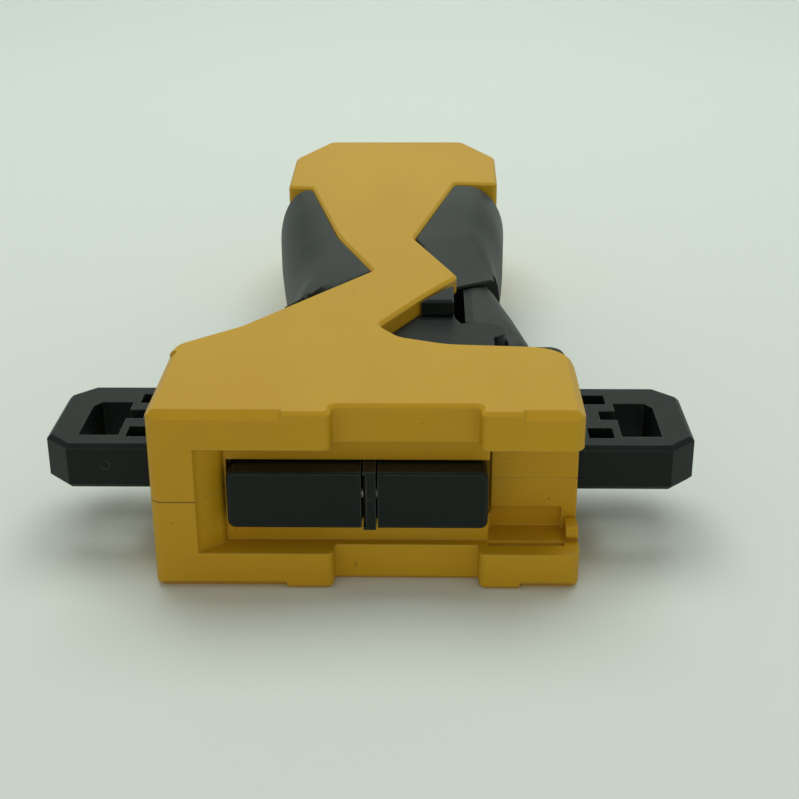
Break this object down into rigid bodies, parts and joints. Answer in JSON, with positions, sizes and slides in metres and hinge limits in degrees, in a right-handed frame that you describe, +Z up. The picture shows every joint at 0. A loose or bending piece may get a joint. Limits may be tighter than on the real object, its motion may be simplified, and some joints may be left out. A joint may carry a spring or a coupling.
{
  "type": "tape gun dispenser",
  "caption": "Hand-held tape gun lying on its flat side: yellow two-part body, black sliding cross bar, tape throat with spring block and hidden cutter, side trigger and soft grips.",
  "frame": {"origin": "centre of the overall box on the surface it lies on", "axes": "+Y from the front lips to the butt of the handle, +X across the head along the cross bar towards the trigger side, +Z up through the thickness"},
  "size_m": [0.1128, 0.1886, 0.0324],
  "materials": {
    "yellow_shell": "satin moulded amber-yellow plastic",
    "black_plastic": "satin moulded black plastic with fine texture",
    "soft_grip": "soft-touch charcoal rubber",
    "steel": "plain steel",
    "spring_steel": "drawn spring wire",
    "blade_steel": "ground steel",
    "brass": "turned brass",
    "nylon": "natural nylon"
  },
  "bodies": {
    "housing": {"upper_shell": "yellow_shell", "lower_shell": "yellow_shell", "shell_screws": "steel", "screw_inserts": "brass", "bar_guide_left": "nylon", "bar_guide_right": "nylon", "bar_stop_pin": "steel", "upper_deck": "black_plastic", "lower_deck": "black_plastic", "left_grip": "soft_grip", "right_grip": "soft_grip", "trigger_pin": "steel", "presser_springs": "spring_steel", "cutter_spring": "spring_steel", "trigger_spring": "spring_steel"},
    "bar": {"cross_bar": "black_plastic"},
    "lock": {"bar_lock": "black_plastic"},
    "presser": {"presser_left": "black_plastic", "presser_right": "black_plastic", "presser_link": "steel"},
    "cutter": {"cutter_slide": "black_plastic", "cutter_blade": "blade_steel", "blade_rivets": "steel"},
    "lever": {"trigger": "black_plastic", "trigger_pad": "soft_grip"}
  },
  "joints": [
    {"name": "bar_travel", "type": "slide", "parent": "housing", "child": "bar", "axis": [1, 0, 0], "range_m": [-0.012, 0.012]},
    {"name": "lock_travel", "type": "slide", "parent": "housing", "child": "lock", "axis": [0, -1, 0], "range_m": [0, 0.004]},
    {"name": "presser_travel", "type": "slide", "parent": "housing", "child": "presser", "axis": [0, 1, 0], "range_m": [0, 0.0024], "stiffness_N_per_m": 400, "springref_m": -0.002, "deforming": ["presser_springs"]},
    {"name": "trigger_pull", "type": "hinge", "parent": "housing", "child": "lever", "pos_m": [0.0206, -0.0465, 0.0162], "axis": [0, 0, 1], "range_deg": [0, 9], "stiffness_Nm_per_rad": 0.12, "springref_deg": -5.73, "deforming": ["trigger_spring"]},
    {"name": "cutter_travel", "type": "slide", "parent": "housing", "child": "cutter", "axis": [0, -1, 0], "range_m": [0, 0.0032], "deforming": ["cutter_spring"]}
  ],
  "couplings": [
    {"joint": "cutter_travel", "follows": "trigger_pull", "m_per_rad": 0.02}
  ]
}
